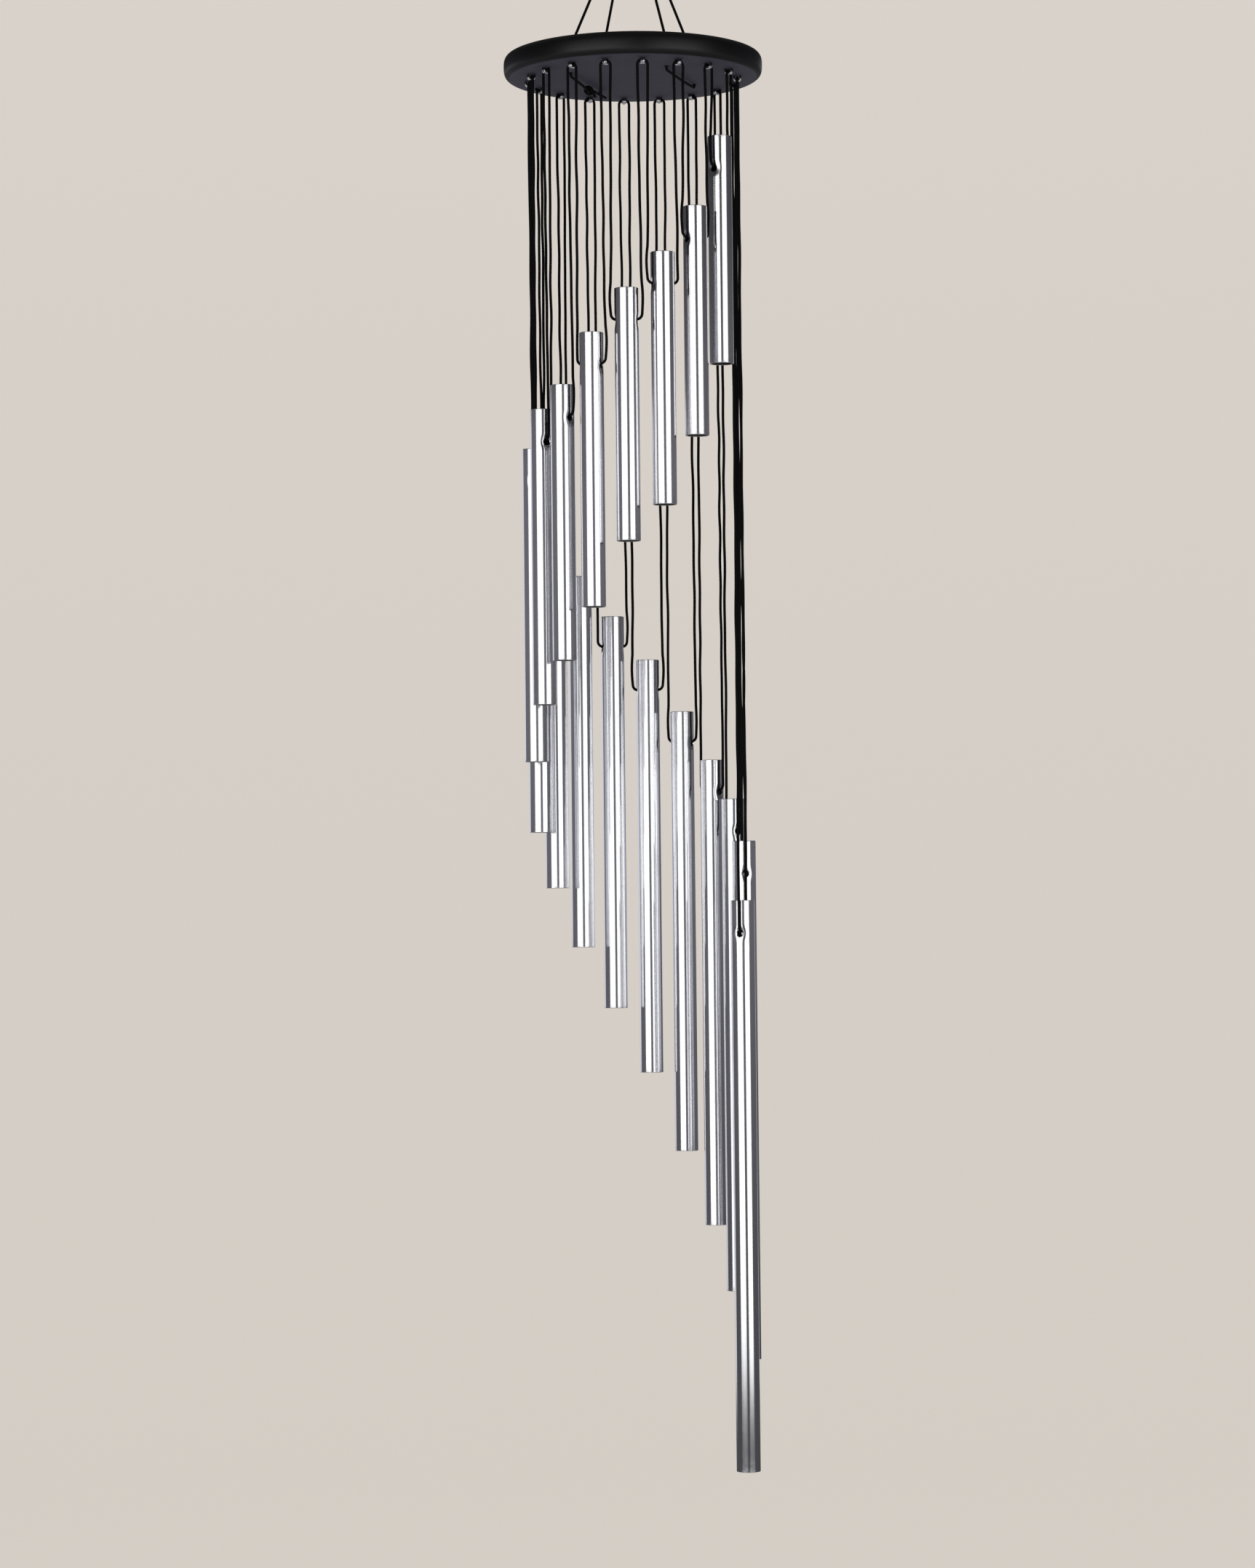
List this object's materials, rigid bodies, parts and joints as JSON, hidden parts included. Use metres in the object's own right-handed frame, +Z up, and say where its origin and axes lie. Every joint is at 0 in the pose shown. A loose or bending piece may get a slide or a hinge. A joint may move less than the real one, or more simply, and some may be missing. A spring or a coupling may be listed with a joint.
{
  "type": "spiral wind chime",
  "caption": "Spiral wind chime: polished metal tubes of growing length, laced in a ring under a round black wooden disc that hangs by cords from a steel ring.",
  "frame": {"origin": "inside top of the hanging ring, where a hook bears", "axes": "+Z up along the chime's length, +X to the right in the picture's view, +Y away from the viewer"},
  "size_m": [0.131, 0.131, 0.8224],
  "materials": {
    "tube": "polished",
    "staple": "bright wire",
    "ring": "bright plated",
    "disc": "black satin stain",
    "cord": "matt black braid"
  },
  "bodies": {
    "ring": {"hanging_ring": "ring"},
    "hanger": {"hanger_knot": "cord"},
    "disc": {"disc": "disc", "left_hanger_cord": "cord", "right_hanger_cord": "cord", "stitch_knot": "cord", "staple_01": "staple", "staple_02": "staple", "staple_03": "staple", "staple_04": "staple", "staple_05": "staple", "staple_06": "staple", "staple_07": "staple", "staple_08": "staple", "staple_09": "staple", "staple_10": "staple", "staple_11": "staple", "staple_12": "staple", "staple_13": "staple", "staple_14": "staple", "staple_15": "staple", "staple_16": "staple", "staple_17": "staple", "staple_18": "staple"},
    "sling_01": {"sling_01": "cord"},
    "tube_01": {"tube_01": "tube"},
    "sling_02": {"sling_02": "cord"},
    "tube_02": {"tube_02": "tube"},
    "sling_03": {"sling_03": "cord"},
    "tube_03": {"tube_03": "tube"},
    "sling_04": {"sling_04": "cord"},
    "tube_04": {"tube_04": "tube"},
    "sling_05": {"sling_05": "cord"},
    "tube_05": {"tube_05": "tube"},
    "sling_06": {"sling_06": "cord"},
    "tube_06": {"tube_06": "tube"},
    "sling_07": {"sling_07": "cord"},
    "tube_07": {"tube_07": "tube"},
    "sling_08": {"sling_08": "cord"},
    "tube_08": {"tube_08": "tube"},
    "sling_09": {"sling_09": "cord"},
    "tube_09": {"tube_09": "tube"},
    "sling_10": {"sling_10": "cord"},
    "tube_10": {"tube_10": "tube"},
    "sling_11": {"sling_11": "cord"},
    "tube_11": {"tube_11": "tube"},
    "sling_12": {"sling_12": "cord"},
    "tube_12": {"tube_12": "tube"},
    "sling_13": {"sling_13": "cord"},
    "tube_13": {"tube_13": "tube"},
    "sling_14": {"sling_14": "cord"},
    "tube_14": {"tube_14": "tube"},
    "sling_15": {"sling_15": "cord"},
    "tube_15": {"tube_15": "tube"},
    "sling_16": {"sling_16": "cord"},
    "tube_16": {"tube_16": "tube"},
    "sling_17": {"sling_17": "cord"},
    "tube_17": {"tube_17": "tube"},
    "sling_18": {"sling_18": "cord"},
    "tube_18": {"tube_18": "tube"}
  },
  "joints": [
    {"name": "hanger_swing", "type": "hinge", "parent": "ring", "child": "hanger", "pos_m": [0, 0, -0.02075], "axis": [1, 0, 0], "range_deg": [-30, 30]},
    {"name": "disc_twist", "type": "hinge", "parent": "hanger", "child": "disc", "pos_m": [0, 0, -0.029], "axis": [0, 0, 1], "range_deg": [-90, 90]},
    {"name": "sling_01_swing", "type": "hinge", "parent": "disc", "child": "sling_01", "pos_m": [0.04276, -0.02994, -0.119], "axis": [-0.5736, -0.8192, 0], "range_deg": [-10.4, 15]},
    {"name": "tube_01_rock", "type": "hinge", "parent": "sling_01", "child": "tube_01", "pos_m": [0.04276, -0.02994, -0.16914], "axis": [0.5736, 0.8192, 0], "range_deg": [-12, 12]},
    {"name": "sling_02_swing", "type": "hinge", "parent": "disc", "child": "sling_02", "pos_m": [0.02994, -0.04276, -0.119], "axis": [0.8192, 0.5736, 0], "range_deg": [-15, 8.3]},
    {"name": "tube_02_rock", "type": "hinge", "parent": "sling_02", "child": "tube_02", "pos_m": [0.02994, -0.04276, -0.20626], "axis": [-0.8192, -0.5736, 0], "range_deg": [-12, 12]},
    {"name": "sling_03_swing", "type": "hinge", "parent": "disc", "child": "sling_03", "pos_m": [0.01351, -0.05042, -0.119], "axis": [-0.9659, -0.2588, 0], "range_deg": [-7, 15]},
    {"name": "tube_03_rock", "type": "hinge", "parent": "sling_03", "child": "tube_03", "pos_m": [0.01351, -0.05042, -0.23003], "axis": [0.9659, 0.2588, 0], "range_deg": [-12, 12]},
    {"name": "sling_04_swing", "type": "hinge", "parent": "disc", "child": "sling_04", "pos_m": [-0.00455, -0.052, -0.119], "axis": [0.9962, -0.0872, 0], "range_deg": [-15, 6.5]},
    {"name": "tube_04_rock", "type": "hinge", "parent": "sling_04", "child": "tube_04", "pos_m": [-0.00455, -0.052, -0.24796], "axis": [-0.9962, 0.0872, 0], "range_deg": [-12, 12]},
    {"name": "sling_05_swing", "type": "hinge", "parent": "disc", "child": "sling_05", "pos_m": [-0.02206, -0.0473, -0.119], "axis": [-0.9063, 0.4226, 0], "range_deg": [-5.7, 15]},
    {"name": "tube_05_rock", "type": "hinge", "parent": "sling_05", "child": "tube_05", "pos_m": [-0.02206, -0.0473, -0.26922], "axis": [0.9063, -0.4226, 0], "range_deg": [-12, 12]},
    {"name": "sling_06_swing", "type": "hinge", "parent": "disc", "child": "sling_06", "pos_m": [-0.03691, -0.03691, -0.119], "axis": [0.7071, -0.7071, 0], "range_deg": [-15, 5.2]},
    {"name": "tube_06_rock", "type": "hinge", "parent": "sling_06", "child": "tube_06", "pos_m": [-0.03691, -0.03691, -0.29383], "axis": [-0.7071, 0.7071, 0], "range_deg": [-12, 12]},
    {"name": "sling_07_swing", "type": "hinge", "parent": "disc", "child": "sling_07", "pos_m": [-0.0473, -0.02206, -0.119], "axis": [-0.4226, 0.9063, 0], "range_deg": [-4.8, 15]},
    {"name": "tube_07_rock", "type": "hinge", "parent": "sling_07", "child": "tube_07", "pos_m": [-0.0473, -0.02206, -0.30425], "axis": [0.4226, -0.9063, 0], "range_deg": [-12, 12]},
    {"name": "sling_08_swing", "type": "hinge", "parent": "disc", "child": "sling_08", "pos_m": [-0.052, -0.00455, -0.119], "axis": [0.0872, -0.9962, 0], "range_deg": [-15, 4.4]},
    {"name": "tube_08_rock", "type": "hinge", "parent": "sling_08", "child": "tube_08", "pos_m": [-0.052, -0.00455, -0.32218], "axis": [-0.0872, 0.9962, 0], "range_deg": [-12, 12]},
    {"name": "sling_09_swing", "type": "hinge", "parent": "disc", "child": "sling_09", "pos_m": [-0.05042, 0.01351, -0.119], "axis": [0.2588, 0.9659, 0], "range_deg": [-4, 15]},
    {"name": "tube_09_rock", "type": "hinge", "parent": "sling_09", "child": "tube_09", "pos_m": [-0.05042, 0.01351, -0.34429], "axis": [-0.2588, -0.9659, 0], "range_deg": [-12, 12]},
    {"name": "sling_10_swing", "type": "hinge", "parent": "disc", "child": "sling_10", "pos_m": [-0.04276, 0.02994, -0.119], "axis": [-0.5736, -0.8192, 0], "range_deg": [-15, 3.7]},
    {"name": "tube_10_rock", "type": "hinge", "parent": "sling_10", "child": "tube_10", "pos_m": [-0.04276, 0.02994, -0.36263], "axis": [0.5736, 0.8192, 0], "range_deg": [-12, 12]},
    {"name": "sling_11_swing", "type": "hinge", "parent": "disc", "child": "sling_11", "pos_m": [-0.02994, 0.04276, -0.119], "axis": [0.8192, 0.5736, 0], "range_deg": [-3.5, 15]},
    {"name": "tube_11_rock", "type": "hinge", "parent": "sling_11", "child": "tube_11", "pos_m": [-0.02994, 0.04276, -0.38307], "axis": [-0.8192, -0.5736, 0], "range_deg": [-12, 12]},
    {"name": "sling_12_swing", "type": "hinge", "parent": "disc", "child": "sling_12", "pos_m": [-0.01351, 0.05042, -0.119], "axis": [-0.9659, -0.2588, 0], "range_deg": [-15, 3.2]},
    {"name": "tube_12_rock", "type": "hinge", "parent": "sling_12", "child": "tube_12", "pos_m": [-0.01351, 0.05042, -0.4035], "axis": [0.9659, 0.2588, 0], "range_deg": [-12, 12]},
    {"name": "sling_13_swing", "type": "hinge", "parent": "disc", "child": "sling_13", "pos_m": [0.00455, 0.052, -0.119], "axis": [0.9962, -0.0872, 0], "range_deg": [-3, 15]},
    {"name": "tube_13_rock", "type": "hinge", "parent": "sling_13", "child": "tube_13", "pos_m": [0.00455, 0.052, -0.42602], "axis": [-0.9962, 0.0872, 0], "range_deg": [-12, 12]},
    {"name": "sling_14_swing", "type": "hinge", "parent": "disc", "child": "sling_14", "pos_m": [0.02206, 0.0473, -0.119], "axis": [-0.9063, 0.4226, 0], "range_deg": [-15, 2.8]},
    {"name": "tube_14_rock", "type": "hinge", "parent": "sling_14", "child": "tube_14", "pos_m": [0.02206, 0.0473, -0.45312], "axis": [0.9063, -0.4226, 0], "range_deg": [-12, 12]},
    {"name": "sling_15_swing", "type": "hinge", "parent": "disc", "child": "sling_15", "pos_m": [0.03691, 0.03691, -0.119], "axis": [0.7071, -0.7071, 0], "range_deg": [-2.6, 15]},
    {"name": "tube_15_rock", "type": "hinge", "parent": "sling_15", "child": "tube_15", "pos_m": [0.03691, 0.03691, -0.47856], "axis": [-0.7071, 0.7071, 0], "range_deg": [-12, 12]},
    {"name": "sling_16_swing", "type": "hinge", "parent": "disc", "child": "sling_16", "pos_m": [0.0473, 0.02206, -0.119], "axis": [-0.4226, 0.9063, 0], "range_deg": [-15, 2.5]},
    {"name": "tube_16_rock", "type": "hinge", "parent": "sling_16", "child": "tube_16", "pos_m": [0.0473, 0.02206, -0.49899], "axis": [0.4226, -0.9063, 0], "range_deg": [-12, 12]},
    {"name": "sling_17_swing", "type": "hinge", "parent": "disc", "child": "sling_17", "pos_m": [0.052, 0.00455, -0.119], "axis": [0.0872, -0.9962, 0], "range_deg": [-2.3, 15]},
    {"name": "tube_17_rock", "type": "hinge", "parent": "sling_17", "child": "tube_17", "pos_m": [0.052, 0.00455, -0.52068], "axis": [-0.0872, 0.9962, 0], "range_deg": [-12, 12]},
    {"name": "sling_18_swing", "type": "hinge", "parent": "disc", "child": "sling_18", "pos_m": [0.05042, -0.01351, -0.119], "axis": [0.2588, 0.9659, 0], "range_deg": [-15, 2.2]},
    {"name": "tube_18_rock", "type": "hinge", "parent": "sling_18", "child": "tube_18", "pos_m": [0.05042, -0.01351, -0.5507], "axis": [-0.2588, -0.9659, 0], "range_deg": [-12, 12]}
  ]
}
